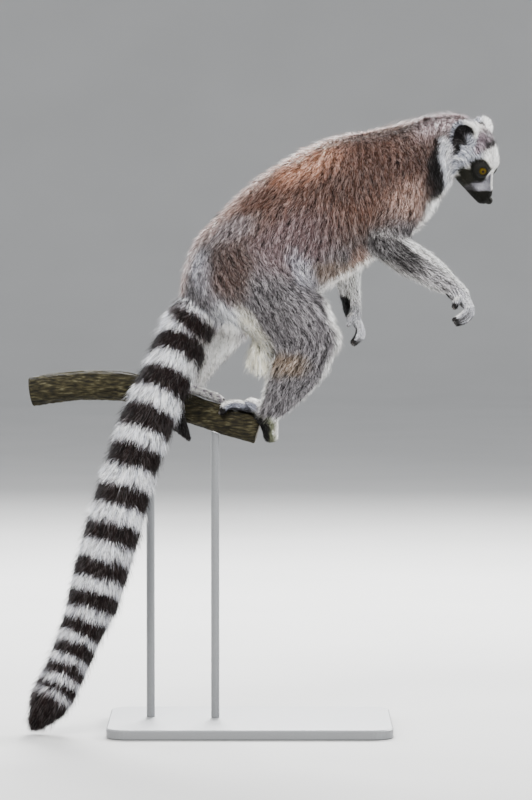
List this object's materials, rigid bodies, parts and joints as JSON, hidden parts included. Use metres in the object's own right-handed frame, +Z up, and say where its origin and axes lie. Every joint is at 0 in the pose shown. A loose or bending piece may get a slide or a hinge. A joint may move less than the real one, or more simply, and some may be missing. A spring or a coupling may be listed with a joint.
{
  "type": "ring-tailed lemur",
  "caption": "Life-size ring-tailed lemur gripping a cut branch with its feet, leaning forward with arms out and ringed tail hanging, on a flat base with upright rods.",
  "frame": {"origin": "centre of the underside of the stand's base", "axes": "+X the way the lemur faces, +Y to the lemur's left, +Z up"},
  "size_m": [0.5668, 0.2702, 0.7396],
  "materials": {
    "coat": "soft dense fur, grizzled grey and reddish brown, white below, with black and white rings on the tail",
    "bare_skin": "fine-grained black skin of nose, palms, soles and inner ears",
    "eye": "wet gloss, amber iris with a round black pupil",
    "claw": "satin dark horn of the nails",
    "bark": "rough furrowed bark with a weathered cut end",
    "stand_paint": "fine-textured matt dark grey paint"
  },
  "bodies": {
    "root": {"head": "coat", "ear_R": "coat", "ear_L": "coat", "neck": "coat", "chest": "coat", "loin": "coat", "rump": "coat", "upper_arm_R": "coat", "forearm_R": "coat", "hand_R": "coat", "upper_arm_L": "coat", "forearm_L": "coat", "hand_L": "coat", "thigh_R": "coat", "shank_R": "coat", "foot_R": "coat", "thigh_L": "coat", "shank_L": "coat", "foot_L": "coat", "tail_1": "coat", "tail_2": "coat", "tail_3": "coat", "tail_4": "coat", "tail_5": "coat", "tail_6": "coat", "tail_7": "coat", "eye_R": "eye", "eye_L": "eye", "perch_branch": "bark", "stand_base": "stand_paint", "stand_rod_1": "stand_paint", "stand_rod_2": "stand_paint"}
  },
  "joints": []
}
